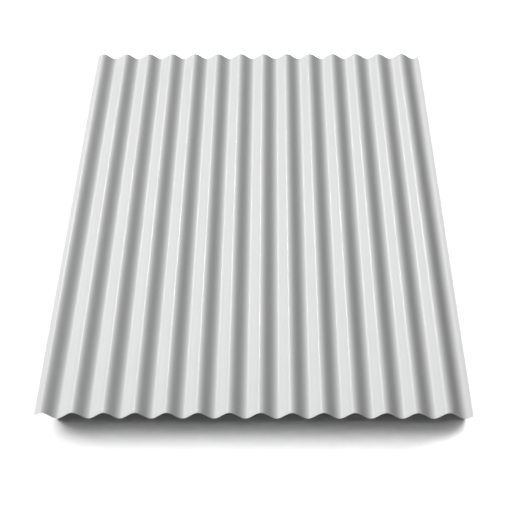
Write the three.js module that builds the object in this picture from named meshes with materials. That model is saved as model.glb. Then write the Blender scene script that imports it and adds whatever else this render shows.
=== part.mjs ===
// A corrugated steel sheet: one flat strip, roll-formed across its width into sine waves.
// Millimetres. The waves run along Y, the sheet spreads along X and lies with its valleys on Z = 0.
// The origin is the middle of the underside's bounding rectangle.
import * as THREE from "three";

// Driving dimensions
const sheetLength = 1800; // along the waves
const wavePitch = 76; // crest to crest
const waveDepth = 18; // valley to crest, on the same face of the sheet
const crestCount = 14;
const sheetThickness = 0.7; // square to the surface
const leftOverhang = 17; // from the first crest to the edge that covers the next sheet
const rightOverhang = 57; // from the last crest to the edge that the next sheet covers
const facetsPerWave = 24; // an even count puts a level facet on every crest and in every valley

const lastCrest = (crestCount - 1) * wavePitch;

// The level facets cut across the tips of the wave, so the wave is a little taller than the sheet.
const amplitude = waveDepth / 2 / Math.cos(Math.PI / facetsPerWave);

// Height of the sheet's mid-surface at a distance x from the first crest.
function heightAt(x) {
  return amplitude * Math.cos((2 * Math.PI * x) / wavePitch);
}

function slopeAt(x) {
  return -((2 * Math.PI * amplitude) / wavePitch) * Math.sin((2 * Math.PI * x) / wavePitch);
}

// A point on one face of the sheet: side is +1 for the top face and -1 for the underside.
function facePoint(x, side) {
  const tilt = Math.atan(slopeAt(x));
  const offset = (side * sheetThickness) / 2;
  return new THREE.Vector2(x - offset * Math.sin(tilt), heightAt(x) + offset * Math.cos(tilt));
}

// Stations across the sheet: both edges, and between them the ends of every facet.
// The stations lie half a facet to each side of a crest, so the facet over it is level.
function stationsAcross() {
  const facetWidth = wavePitch / facetsPerWave;
  const leftEdge = -leftOverhang;
  const rightEdge = lastCrest + rightOverhang;
  const first = Math.floor(leftEdge / facetWidth + 0.5) + 0.5;
  const stations = [leftEdge];
  for (let k = first; k * facetWidth < rightEdge; k += 1) {
    const clearOfEdges = Math.min(k * facetWidth - leftEdge, rightEdge - k * facetWidth);
    if (clearOfEdges > facetWidth / 4) stations.push(k * facetWidth);
  }
  stations.push(rightEdge);
  return stations;
}

// The sheet's end outline: along the underside to the right, and back along the top face.
function sectionShape() {
  const stations = stationsAcross();
  const underside = stations.map((x) => facePoint(x, -1));
  const topFace = stations.map((x) => facePoint(x, +1)).reverse();
  return new THREE.Shape([...underside, ...topFace]);
}

function corrugatedSheet() {
  const geometry = new THREE.ExtrudeGeometry(sectionShape(), {
    depth: sheetLength,
    bevelEnabled: false,
  });
  geometry.rotateX(Math.PI / 2); // the extrusion's depth now runs along Y
  geometry.computeBoundingBox();
  const { min, max } = geometry.boundingBox;
  geometry.translate(-(min.x + max.x) / 2, -(min.y + max.y) / 2, -min.z);

  const coatedSteel = new THREE.MeshStandardMaterial({
    color: 0xd9dadb,
    roughness: 0.42,
    metalness: 0.1,
  });
  const mesh = new THREE.Mesh(geometry, coatedSteel);
  mesh.name = "corrugated_sheet";
  return mesh;
}

const part = new THREE.Group();
part.add(corrugatedSheet());

export default part;
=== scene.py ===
import math

import bpy
from mathutils import Matrix, Vector


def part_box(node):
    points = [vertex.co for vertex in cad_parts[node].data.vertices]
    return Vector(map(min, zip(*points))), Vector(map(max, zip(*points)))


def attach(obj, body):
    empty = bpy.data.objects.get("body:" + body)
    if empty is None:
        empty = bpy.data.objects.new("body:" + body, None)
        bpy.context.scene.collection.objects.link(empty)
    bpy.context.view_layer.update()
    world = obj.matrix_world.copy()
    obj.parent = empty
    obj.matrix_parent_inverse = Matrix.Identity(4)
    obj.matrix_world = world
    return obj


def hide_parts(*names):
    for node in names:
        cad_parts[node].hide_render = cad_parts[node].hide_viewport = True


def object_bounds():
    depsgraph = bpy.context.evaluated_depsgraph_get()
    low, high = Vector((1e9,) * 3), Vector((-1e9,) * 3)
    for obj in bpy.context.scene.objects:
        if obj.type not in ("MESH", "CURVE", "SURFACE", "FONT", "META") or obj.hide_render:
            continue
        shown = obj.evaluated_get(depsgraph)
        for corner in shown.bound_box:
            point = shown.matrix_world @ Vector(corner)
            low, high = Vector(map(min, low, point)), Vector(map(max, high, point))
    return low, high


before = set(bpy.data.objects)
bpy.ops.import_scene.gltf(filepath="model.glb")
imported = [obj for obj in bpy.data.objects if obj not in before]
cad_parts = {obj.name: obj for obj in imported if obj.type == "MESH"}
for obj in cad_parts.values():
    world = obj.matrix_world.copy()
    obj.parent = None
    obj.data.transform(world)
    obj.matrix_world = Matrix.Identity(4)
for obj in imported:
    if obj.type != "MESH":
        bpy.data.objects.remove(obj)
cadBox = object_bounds()
print("frame loaded")


class Wire:
    # one output of a node; arithmetic on it adds Math nodes to the same tree
    def __init__(self, net, socket):
        self.net = net
        self.socket = socket

    def __add__(self, other):
        return self.net.maths("ADD", self, other)

    def __sub__(self, other):
        return self.net.maths("SUBTRACT", self, other)

    def __mul__(self, other):
        return self.net.maths("MULTIPLY", self, other)

    def __truediv__(self, other):
        return self.net.maths("DIVIDE", self, other)

    def __radd__(self, other):
        return self.net.maths("ADD", other, self)

    def __rsub__(self, other):
        return self.net.maths("SUBTRACT", other, self)

    def __rmul__(self, other):
        return self.net.maths("MULTIPLY", other, self)

    def __rtruediv__(self, other):
        return self.net.maths("DIVIDE", other, self)

    def __neg__(self):
        return self.net.maths("MULTIPLY", self, -1.0)


class Net:
    # a node tree under construction: a material, the world or a Geometry Nodes group
    def __init__(self, tree):
        self.tree = tree

    def node(self, kind, settings=None, values=None):
        made = self.tree.nodes.new(kind)
        for name, value in (settings or {}).items():
            setattr(made, name, value)
        for key, value in (values or {}).items():
            self.feed(made.inputs[key], value)
        return made

    def feed(self, socket, value):
        if isinstance(value, Wire):
            self.tree.links.new(value.socket, socket)
        else:
            socket.default_value = value

    def wire(self, kind, output, settings=None, values=None):
        return Wire(self, self.node(kind, settings, values).outputs[output])

    def maths(self, operation, *terms):
        values = dict(enumerate(terms))
        return self.wire("ShaderNodeMath", 0, {"operation": operation}, values)

    def least(self, a, b):
        return self.maths("MINIMUM", a, b)

    def most(self, a, b):
        return self.maths("MAXIMUM", a, b)

    def between(self, value, low=0.0, high=1.0):
        return self.least(self.most(value, low), high)

    def ramp(self, value, low, high):
        # 0 below low, 1 above high, smooth between
        settings = {"interpolation_type": "SMOOTHSTEP"}
        return self.wire("ShaderNodeMapRange", 0, settings, {0: value, 1: low, 2: high})

    def vector(self, x, y, z):
        return self.wire("ShaderNodeCombineXYZ", 0, None, {0: x, 1: y, 2: z})

    def parts(self, vector):
        split = self.node("ShaderNodeSeparateXYZ", None, {0: vector})
        return [Wire(self, output) for output in split.outputs]

    def noise(self, place, scale=1.0, detail=2.0, roughness=0.5):
        # runs from about -1 to 1 round 0
        values = {"Vector": place, "Scale": scale, "Detail": detail, "Roughness": roughness}
        return self.wire("ShaderNodeTexNoise", 0, None, values) * 2.0 - 1.0


# metres, in the frame's own axes: the waves run along y, and x goes from the left edge to the right one
sheet = {
    "node": "corrugated_sheet",
    "slot": "coated_steel",
    "pitch": 0.076,            # crest to crest
    "crests": 14,
    "thickness": 0.0007,
    "leftOverhang": 0.017,     # first crest to the left edge
    "rightOverhang": 0.057,    # last crest to the right edge
    "pointsPerWave": 32,
    "rowsAlong": 84,
    "edgeEase": 0.00012,       # radius of the rounding on a sheared edge
    "edgeSteps": 2,
    "edgeHold": 0.0006,        # a ring this far inside the rounding keeps the shading flat
    "otherRings": 2,           # that ring, and the one in the middle of the cut edge
    "weldShare": 0.05,         # points closer than this share of the rounding are joined
    "heightWander": 0.00010,   # how far the rolled surface rises and falls
    "crestWander": 0.0004,     # how far a crest strays sideways
    "wanderAcross": 7.0,       # waves of wander per metre across the sheet
    "wanderAlong": 2.6,        # and along it
    "seed": 11.0,
    "seedGap": 40.0,           # from the noise that lifts the surface to the one that moves crests
}
zones = {"top": 0.0, "underside": 1.0, "cutEdge": 2.0}     # in the order of the finishes


def waveSlope(amplitude, x):
    return -amplitude * math.tau / sheet["pitch"] * math.sin(math.tau * x / sheet["pitch"])


def groupInputs(net, sizes):
    # one named float input for each size, with its default
    for name, value in sizes.items():
        socket = net.tree.interface.new_socket(name=name, in_out="INPUT", socket_type="NodeSocketFloat")
        socket.default_value = value
    group = net.node("NodeGroupInput")
    return {name: Wire(net, group.outputs[name]) for name in sizes}


def zoneIs(net, number):
    zone = net.wire("GeometryNodeInputNamedAttribute", 0, {"data_type": "FLOAT"}, {"Name": "zone"})
    settings = {"data_type": "FLOAT", "operation": "EQUAL"}
    values = {"A": zone, "B": number, "Epsilon": 0.1}     # the zones are whole numbers
    return net.wire("FunctionNodeCompare", 0, settings, values)


def sheetTree(sizes, finishes):
    # A grid of points is laid over the sheet's mid-surface. Its outer rings turn down over the cut
    # edge, and the same grid pushed the other way is the underside; the two meet in the edge's middle.
    tree = bpy.data.node_groups.new("rolledSheet", "GeometryNodeTree")
    tree.interface.new_socket(name="Geometry", in_out="OUTPUT", socket_type="NodeSocketGeometry")
    net = Net(tree)
    size = groupInputs(net, sizes)

    held = size["Edge steps"] + sheet["otherRings"]     # rings along each cut edge
    lastColumn = size["Columns"] - 1.0
    lastRow = size["Rows"] - 1.0
    grid = net.wire("GeometryNodeMeshGrid", "Mesh", None, {
        "Size X": lastColumn,
        "Size Y": lastRow,
        "Vertices X": size["Columns"],
        "Vertices Y": size["Rows"],
    })
    gridX, gridY, _ = net.parts(net.wire("GeometryNodeInputPosition", 0))

    def spread(step, last, low, high):
        # places a row or column between two edges, and counts its rings from the nearer edge
        fromEdge = net.least(step, last - step)
        turn = net.between((fromEdge - 1.0) / size["Edge steps"]) * (math.pi / 2)
        holding = net.between(fromEdge - 1.0 - size["Edge steps"])
        inset = size["Edge ease"] * (1.0 - net.maths("COSINE", turn)) + size["Edge hold"] * holding
        share = net.between((step - held) / (last - held * 2.0))
        return low + inset + (high - low - inset * 2.0) * share, fromEdge

    x, ringX = spread(gridX + lastColumn / 2.0, lastColumn, size["Left edge"], size["Right edge"])
    y, ringY = spread(gridY + lastRow / 2.0, lastRow, size["Near end"], size["Far end"])
    ring = net.least(ringX, ringY)
    turn = net.between((ring - 1.0) / size["Edge steps"]) * (math.pi / 2)
    easing = size["Edge ease"] * (1.0 - net.maths("SINE", turn))
    halfThickness = net.between(ring) * (size["Thickness"] / 2.0 - easing)

    wanderX = x * size["Wander across"]
    wanderY = y * size["Wander along"]
    elsewhere = net.vector(wanderX, wanderY, size["Seed"] + sheet["seedGap"])
    strayed = x - size["First crest"] + net.noise(elsewhere) * size["Crest wander"]
    phase = strayed / size["Pitch"] * math.tau
    rise = net.noise(net.vector(wanderX, wanderY, size["Seed"])) * size["Height wander"]
    z = size["Middle height"] + size["Amplitude"] * net.maths("COSINE", phase) + rise
    slope = -size["Amplitude"] / size["Pitch"] * math.tau * net.maths("SINE", phase)
    steepness = net.maths("SQRT", slope * slope + 1.0)

    def skin(side, face):
        # side is 1 for the top face and -1 for the underside
        push = halfThickness * side / steepness
        place = net.vector(x - push * slope, y, z + push)
        cut = net.maths("LESS_THAN", ring, 1.0)
        zone = cut * (zones["cutEdge"] - zones[face]) + zones[face]
        settings = {"data_type": "FLOAT", "domain": "FACE"}
        values = {"Geometry": grid, "Name": "zone", "Value": zone}
        marked = net.wire("GeometryNodeStoreNamedAttribute", 0, settings, values)
        return net.wire("GeometryNodeSetPosition", 0, None, {"Geometry": marked, "Position": place})

    top = skin(1.0, "top")
    underside = net.wire("GeometryNodeFlipFaces", 0, None, {"Mesh": skin(-1.0, "underside")})
    joined = net.node("GeometryNodeJoinGeometry")
    for half in (underside, top):
        net.feed(joined.inputs[0], half)
    welded = net.wire("GeometryNodeMergeByDistance", 0, None, {
        "Geometry": Wire(net, joined.outputs[0]),
        "Distance": size["Edge ease"] * sheet["weldShare"],
    })
    smooth = net.wire("GeometryNodeSetShadeSmooth", 0, None, {"Geometry": welded, "Shade Smooth": True})
    made = net.wire("GeometryNodeRealizeInstances", 0, None, {"Geometry": smooth})
    for number, finish in zip(zones.values(), finishes):
        made = net.wire("GeometryNodeSetMaterial", 0, None, {
            "Geometry": made,
            "Selection": zoneIs(net, number),
            "Material": finish,
        })
    net.node("NodeGroupOutput", None, {0: made})
    return tree


def makeSheet(finishes):
    low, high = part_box(sheet["node"])
    amplitude = (high.z - low.z - sheet["thickness"]) / 2 - sheet["heightWander"]
    tiltAtLeft = math.atan(waveSlope(amplitude, -sheet["leftOverhang"]))
    leftEdge = low.x + sheet["thickness"] / 2 * math.sin(tiltAtLeft)
    firstCrest = leftEdge + sheet["leftOverhang"]
    rightEdge = firstCrest + (sheet["crests"] - 1) * sheet["pitch"] + sheet["rightOverhang"]
    edgeRings = 2 * (sheet["edgeSteps"] + sheet["otherRings"])
    columns = round((rightEdge - leftEdge) / sheet["pitch"] * sheet["pointsPerWave"]) + 1 + edgeRings
    sizes = {
        "Left edge": leftEdge,
        "Right edge": rightEdge,
        "Near end": low.y,
        "Far end": high.y,
        "First crest": firstCrest,
        "Pitch": sheet["pitch"],
        "Amplitude": amplitude,
        "Middle height": (low.z + high.z) / 2,
        "Thickness": sheet["thickness"],
        "Edge ease": sheet["edgeEase"],
        "Edge steps": float(sheet["edgeSteps"]),
        "Edge hold": sheet["edgeHold"],
        "Height wander": sheet["heightWander"],
        "Crest wander": sheet["crestWander"],
        "Wander across": sheet["wanderAcross"],
        "Wander along": sheet["wanderAlong"],
        "Seed": sheet["seed"],
        "Columns": float(columns),
        "Rows": float(sheet["rowsAlong"] + 1 + edgeRings),
    }
    tree = sheetTree(sizes, finishes)
    carrier = bpy.data.objects.new("sheetMaker", bpy.data.meshes.new("sheetMaker"))
    bpy.context.scene.collection.objects.link(carrier)
    modifier = carrier.modifiers.new("rolledSheet", "NODES")
    modifier.node_group = tree
    for item in tree.interface.items_tree:
        if item.in_out == "INPUT":
            modifier[item.identifier] = sizes[item.name]
    evaluated = carrier.evaluated_get(bpy.context.evaluated_depsgraph_get())
    mesh = bpy.data.meshes.new_from_object(evaluated)
    carrier.modifiers.clear()
    bpy.data.objects.remove(carrier)
    mesh.attributes.remove(mesh.attributes["zone"])
    mesh.materials.pop(index=0)     # the grid's own empty slot
    piece = bpy.data.objects.new("rolled_sheet", mesh)
    bpy.context.scene.collection.objects.link(piece)
    return piece


def startMaterial(name):
    material = bpy.data.materials.new(name)
    material.use_nodes = True
    material.node_tree.nodes.clear()
    return material, Net(material.node_tree)


def startFinish(name):
    material, net = startMaterial(name)
    return material, net, net.wire("ShaderNodeTexCoord", "Object")


def endFinish(net, values):
    shader = net.wire("ShaderNodeBsdfPrincipled", 0, None, values)
    net.node("ShaderNodeOutputMaterial", None, {"Surface": shader})


def tint(net, colour, amount):
    # the colour made lighter or darker by a factor round 1
    return net.wire("ShaderNodeVectorMath", 0, {"operation": "SCALE"}, {0: colour, "Scale": amount})


def blend(net, share, colour, other):
    # colours mixed by a share from 0 to 1; a Mix node's colour sockets are inputs 6 and 7 and output 2
    values = {"Factor": share, 6: colour, 7: other}
    return net.wire("ShaderNodeMix", 2, {"data_type": "RGBA"}, values)


def opaque(colour):
    return (*colour, 1.0)


def drawnOut(net, x, y, z, across, along):
    # where to read a noise that is drawn out along the waves
    return net.vector(x * across, y * along, z * across)


def bumped(net, height):
    return net.wire("ShaderNodeBump", 0, None, {"Height": height, "Distance": 1.0})


topCoat = {
    "colour": (0.730, 0.736, 0.735),
    "roughness": 0.295,
    "smoothest": 0.28,            # and the roughness never goes below this
    "ior": 1.5,                   # refractive index
    "clouds": 9.0,                # slow changes of tone, per metre
    "cloudDepth": 0.024,
    "cloudDull": 0.010,
    "streaksAcross": 240.0,       # streaks left by the rolls, per metre across the sheet
    "streaksAlong": 1.2,          # and along it
    "streakDepth": 0.026,
    "streakDull": 0.015,
    "streakHeight": 0.000002,
    "hairsAcross": 1500.0,        # the finest streaks
    "hairsAlong": 7.0,
    "hairDepth": 0.014,
    "grain": 850.0,               # orange peel of the baked coat, per metre
    "grainHeight": 0.000005,
    "wavesAcross": 13.0,          # long shallow waves left in the metal
    "wavesAlong": 2.4,
    "waveHeight": 0.00017,
    "waveSlice": 3.0,             # where the waves' noise is cut through
    "crestFrom": 0.0168,          # height above which the crests are clean and rubbed, and lightened as a painted highlight on the crest tops
    "crestFull": 0.0186,
    "crestCleanAndHighlight": 0.025,
    "rubTone": 0.045,
    "rubFrom": -0.1,              # rubbing shows where the hairs' noise is above this
    "rubFull": 0.5,               # and fully above this
    "rubPolish": 0.02,
    "valleyFull": 0.0004,         # height below which dust has settled
    "valleyTo": 0.0055,
    "dustTone": 0.020,
    "dustDull": 0.06,
    "dustFrom": -0.5,             # dust lies where the clouds' noise is above this
    "dustFull": 0.5,              # and fully above this
    "lapWidth": 0.018,            # strip at the right edge that the next sheet covers; its coat is dulled, and its colour darkened as painted shade
    "lapFull": 0.011,
    "rightStripShade": 0.055,
    "lapDull": 0.06,
    "scuffTurn": 63.0,            # degrees between the scuffs and the waves
    "scuffsAcross": 620.0,
    "scuffsAlong": 11.0,
    "scuffTone": 0.035,
    "scuffDull": 0.08,
    "scuffDepth": 0.000004,
    "scuffFrom": 0.48,            # scuffs show where their noise is above this
    "scuffFull": 0.60,            # and fully above this
}

edgeWear = {
    "zinc": (0.56, 0.57, 0.58),
    "roughness": 0.40,
    "reach": 0.00025,             # how far the coat is gone from a cut edge, on average
    "wander": 0.0016,             # how much that distance wanders
    "chips": 330.0,               # chips per metre
    "chipDetail": 4.0,
    "chipRaggedness": 0.6,
    "chipEdge": 0.00012,          # how wide the coat's broken edge is
    "coatDepth": 0.00002,
    "zincDepth": 0.15,            # how mottled the bare zinc is
    "grubby": 0.012,              # handling darkens the coat this far in from the edges
    "grubbyTone": 0.020,
}


def topCoatFinish():
    look = topCoat
    wear = edgeWear
    _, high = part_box(sheet["node"])
    material, net, place = startFinish("satinTopCoat")
    x, y, z = net.parts(place)

    clouds = net.noise(place, look["clouds"], detail=3.0)
    streakPlace = drawnOut(net, x, y, z, look["streaksAcross"], look["streaksAlong"])
    streaks = net.noise(streakPlace, detail=3.0)
    hairPlace = drawnOut(net, x, y, z, look["hairsAcross"], look["hairsAlong"])
    hairs = net.noise(hairPlace)
    grain = net.noise(place, look["grain"])
    wavePlace = net.vector(x * look["wavesAcross"], y * look["wavesAlong"], look["waveSlice"])
    waves = net.noise(wavePlace, detail=1.0)

    crest = net.ramp(z, look["crestFrom"], look["crestFull"])
    rubbed = crest * net.ramp(hairs, look["rubFrom"], look["rubFull"])
    valley = 1.0 - net.ramp(z, look["valleyFull"], look["valleyTo"])
    dusty = valley * net.ramp(clouds, look["dustFrom"], look["dustFull"])

    # the strip at the right edge: a duller coat, and a colour darkened as painted shade
    lappedAndShaded = net.ramp(x, high.x - look["lapWidth"], high.x - look["lapFull"])

    turn = math.radians(look["scuffTurn"])
    alongScuff = y * math.cos(turn) + x * math.sin(turn)
    acrossScuff = x * math.cos(turn) - y * math.sin(turn)
    scuffPlace = net.vector(acrossScuff * look["scuffsAcross"], alongScuff * look["scuffsAlong"], 0.0)
    scuffNoise = net.noise(scuffPlace, detail=1.0)
    scuffs = net.ramp(scuffNoise, look["scuffFrom"], look["scuffFull"]) * crest

    fromEdge = net.least(high.x - net.maths("ABSOLUTE", x), high.y - net.maths("ABSOLUTE", y))
    chipNoise = net.noise(place, wear["chips"], wear["chipDetail"], wear["chipRaggedness"])
    bare = net.ramp(chipNoise * wear["wander"] + wear["reach"] - fromEdge, 0.0, wear["chipEdge"])
    grubby = 1.0 - net.ramp(fromEdge, 0.0, wear["grubby"])

    tone = 1.0 + clouds * look["cloudDepth"] + streaks * look["streakDepth"] + hairs * look["hairDepth"]
    # the crest tops are lightened partly as a painted highlight, partly as a clean rubbed coat
    tone = tone + crest * look["crestCleanAndHighlight"] + rubbed * look["rubTone"] + scuffs * look["scuffTone"]
    # the strip at the right edge is darkened as painted shade
    tone = tone - dusty * look["dustTone"] - grubby * wear["grubbyTone"] - lappedAndShaded * look["rightStripShade"]
    zincTone = 1.0 + chipNoise * wear["zincDepth"]
    roughness = look["roughness"] + streaks * look["streakDull"] + clouds * look["cloudDull"]
    roughness = roughness + dusty * look["dustDull"] + lappedAndShaded * look["lapDull"]
    roughness = roughness - rubbed * look["rubPolish"] + scuffs * look["scuffDull"]
    roughness = net.most(roughness, look["smoothest"]) + bare * (wear["roughness"] - look["roughness"])
    height = grain * look["grainHeight"] + waves * look["waveHeight"] + streaks * look["streakHeight"]
    height = height - bare * wear["coatDepth"] - scuffs * look["scuffDepth"]

    coat = tint(net, look["colour"], tone)
    zinc = tint(net, wear["zinc"], zincTone)
    endFinish(net, {
        "Base Color": blend(net, bare, coat, zinc),
        "Metallic": bare,
        "Roughness": roughness,
        "IOR": look["ior"],
        "Normal": bumped(net, height),
    })
    return material


backCoat = {
    "colour": (0.45, 0.46, 0.465),
    "roughness": 0.52,
    "clouds": 14.0,
    "cloudDepth": 0.03,
    "streaksAcross": 180.0,
    "streaksAlong": 0.9,
    "streakDepth": 0.04,
    "streakDull": 0.05,
    "cloudDull": 0.04,
    "grain": 600.0,
    "grainHeight": 0.000006,
}


def backCoatFinish():
    look = backCoat
    material, net, place = startFinish("greyBackingCoat")
    x, y, z = net.parts(place)
    clouds = net.noise(place, look["clouds"], detail=3.0)
    streakPlace = drawnOut(net, x, y, z, look["streaksAcross"], look["streaksAlong"])
    streaks = net.noise(streakPlace, detail=3.0)
    grain = net.noise(place, look["grain"])
    tone = 1.0 + clouds * look["cloudDepth"] + streaks * look["streakDepth"]
    height = grain * look["grainHeight"]
    endFinish(net, {
        "Base Color": tint(net, look["colour"], tone),
        "Roughness": look["roughness"] + streaks * look["streakDull"] + clouds * look["cloudDull"],
        "Normal": bumped(net, height),
    })
    return material


cutSteel = {
    "colour": (0.50, 0.50, 0.49),
    "roughness": 0.42,
    "shearLines": 2600.0,         # per metre round the edge
    "shearLinesUp": 300.0,        # and through its thickness
    "shearDepth": 0.16,
    "shearHeight": 0.000012,
    "shearDull": 0.10,
    "stains": 90.0,
    "stainColour": (0.36, 0.30, 0.25),
    "stainShare": 0.35,
    "stainFrom": 0.05,            # stains show where their noise is above this
    "stainFull": 0.5,             # and fully above this
    "stainDull": 0.4,
}


def cutSteelFinish():
    look = cutSteel
    material, net, place = startFinish("shearedSteelEdge")
    x, y, z = net.parts(place)
    linePlace = net.vector(x * look["shearLines"], y * look["shearLines"], z * look["shearLinesUp"])
    lines = net.noise(linePlace)
    stainNoise = net.noise(place, look["stains"], detail=3.0)
    stained = net.ramp(stainNoise, look["stainFrom"], look["stainFull"]) * look["stainShare"]
    steel = tint(net, look["colour"], 1.0 + lines * look["shearDepth"])
    height = lines * look["shearHeight"]
    endFinish(net, {
        "Base Color": blend(net, stained, steel, opaque(look["stainColour"])),
        "Metallic": 1.0 - stained,
        "Roughness": look["roughness"] + lines * look["shearDull"] + stained * look["stainDull"],
        "Normal": bumped(net, height),
    })
    return material


finishes = [topCoatFinish(), backCoatFinish(), cutSteelFinish()]
print("finishes made")

rolledSheet = makeSheet(finishes)
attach(rolledSheet, "root")
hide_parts(sheet["node"])
print("sheet made:", len(rolledSheet.data.polygons), "faces")


floor = {
    "seen": 0.88,              # how white the camera sees it
    "felt": 0.42,              # how much light it sends back to the object
    "reach": 40.0,             # half the side of the square
    "gap": 0.0002,             # the sheet lies this far clear of it
}


def makeFloor():
    reach = floor["reach"]
    height = cadBox[0].z - floor["gap"]
    sides = [(-reach, -reach), (reach, -reach), (reach, reach), (-reach, reach)]
    corners = [(x, y, height) for x, y in sides]
    mesh = bpy.data.meshes.new("floor")
    mesh.from_pydata(corners, [], [(0, 1, 2, 3)])
    piece = bpy.data.objects.new("floor", mesh)
    bpy.context.scene.collection.objects.link(piece)
    material, net = startMaterial("floorPaper")
    rays = net.node("ShaderNodeLightPath")
    seen = Wire(net, rays.outputs["Is Camera Ray"])
    level = seen * (floor["seen"] - floor["felt"]) + floor["felt"]
    paper = net.wire("ShaderNodeBsdfDiffuse", 0, None, {"Color": level})
    net.node("ShaderNodeOutputMaterial", None, {"Surface": paper})
    mesh.materials.append(material)
    return piece


# each lamp: the bearing it comes from (0 is the near end, 90 the right, 180 the far end, 270 the left),
# its height above the horizon, its strength and how wide it looks, in degrees; the key stands near by,
# "away" metres off, is turned up past the sheet so that the right edge gets nearly as much light as
# the left one, and leaves no mirror image on the coat
sheetLamps = {
    "key": {"bearing": 270, "height": 40, "strength": 2.75, "width": 8, "away": 6.0, "aimUp": 22.1},
    "sheen": {"bearing": 203, "height": 29, "strength": 0.25, "width": 4},
    "top": {"bearing": 0, "height": 90, "strength": 0.27, "width": 30},
}
floorLamps = {
    "front": {"bearing": 0, "height": 35, "strength": 0.26, "width": 40},
}
# fans of lamps that stand low behind the sheet and light the floor alone, from one bearing to another
# and "apart" degrees apart; with the front lamp they light the floor past white
rearFans = {
    "apart": 8,
    "fans": [
        {"from": 136, "to": 160, "height": 2, "strength": 18.0, "width": 8},
        {"from": 200, "to": 208, "height": 3, "strength": 4.5, "width": 14},
        {"from": 216, "to": 240, "height": 6, "strength": 7.0, "width": 8},
        {"from": 104, "to": 104, "height": 8, "strength": 2.2, "width": 20},
        {"from": 104, "to": 152, "height": 8, "strength": 0.5, "width": 20},
    ],
}
sunAway = 3.0                  # a sun's distance changes nothing, but it stands clear of the sheet
sky = {
    "seen": 1.0,               # what the camera and the reflections see
    "felt": 0.03,              # what lights the object
}


def lampGroup(name, members):
    group = bpy.data.collections.new(name)
    for member in members:
        group.objects.link(member)
    return group


def heading(bearing, height):
    # the unit vector towards a bearing and a height above the horizon
    turn = math.radians(bearing)
    rise = math.radians(height)
    flat = math.cos(rise)
    return Vector((math.sin(turn) * flat, -math.cos(turn) * flat, math.sin(rise)))


def addLamp(name, lamp, lit):
    towards = heading(lamp["bearing"], lamp["height"])
    near = "away" in lamp
    away = lamp.get("away", sunAway)
    if near:
        data = bpy.data.lights.new(name, "AREA")
        data.shape = "DISK"
        data.size = 2 * away * math.tan(math.radians(lamp["width"] / 2))
        facing = heading(lamp["bearing"] + 180, lamp["aimUp"])
        data.energy = lamp["strength"] * math.pi * away ** 2 / -facing.dot(towards)
    else:
        data = bpy.data.lights.new(name, "SUN")
        data.angle = math.radians(lamp["width"])
        data.energy = lamp["strength"]
        facing = -towards
    made = bpy.data.objects.new(name, data)
    made.location = towards * away
    made.rotation_euler = facing.to_track_quat("-Z", "Y").to_euler()
    made.visible_glossy = not near
    made.light_linking.receiver_collection = lit
    bpy.context.scene.collection.objects.link(made)


def makeSky():
    world = bpy.data.worlds.new("sky")
    world.use_nodes = True
    world.node_tree.nodes.clear()
    net = Net(world.node_tree)
    rays = net.node("ShaderNodeLightPath")
    cameraRay = Wire(net, rays.outputs["Is Camera Ray"])
    glossyRay = Wire(net, rays.outputs["Is Glossy Ray"])
    throughRay = Wire(net, rays.outputs["Is Transmission Ray"])
    seen = net.most(cameraRay, net.most(glossyRay, throughRay))
    strength = seen * (sky["seen"] - sky["felt"]) + sky["felt"]
    values = {"Color": (1.0, 1.0, 1.0, 1.0), "Strength": strength}
    white = net.wire("ShaderNodeBackground", 0, None, values)
    net.node("ShaderNodeOutputWorld", None, {"Surface": white})
    bpy.context.scene.world = world


view = {
    "place": (0.0427, -3.8361, 2.5942),
    "down": 35.69,             # degrees below the horizon
    "left": 0.665,             # degrees off the waves' direction
    "roll": -0.378,
    "lens": 113.26,
    "sensor": 36.0,
}


def makeCamera():
    data = bpy.data.cameras.new("camera")
    data.lens = view["lens"]
    data.sensor_width = view["sensor"]
    camera = bpy.data.objects.new("camera", data)
    turn = (
        Matrix.Rotation(math.radians(view["left"]), 4, "Z")
        @ Matrix.Rotation(math.radians(90 - view["down"]), 4, "X")
        @ Matrix.Rotation(math.radians(view["roll"]), 4, "Z")
    )
    camera.matrix_world = Matrix.Translation(view["place"]) @ turn
    bpy.context.scene.collection.objects.link(camera)
    bpy.context.scene.camera = camera


ground = makeFloor()
sheetOnly = lampGroup("sheetOnly", [rolledSheet])
floorOnly = lampGroup("floorOnly", [ground])
for name, lamp in sheetLamps.items():
    addLamp(name, lamp, sheetOnly)
for name, lamp in floorLamps.items():
    addLamp(name, lamp, floorOnly)
for number, fan in enumerate(rearFans["fans"]):
    for bearing in range(fan["from"], fan["to"] + 1, rearFans["apart"]):
        addLamp("rear" + str(number) + "at" + str(bearing), {"bearing": bearing, **fan}, floorOnly)
makeSky()
makeCamera()
bpy.context.scene.view_settings.view_transform = "Standard"
print("floor, lamps and camera made")
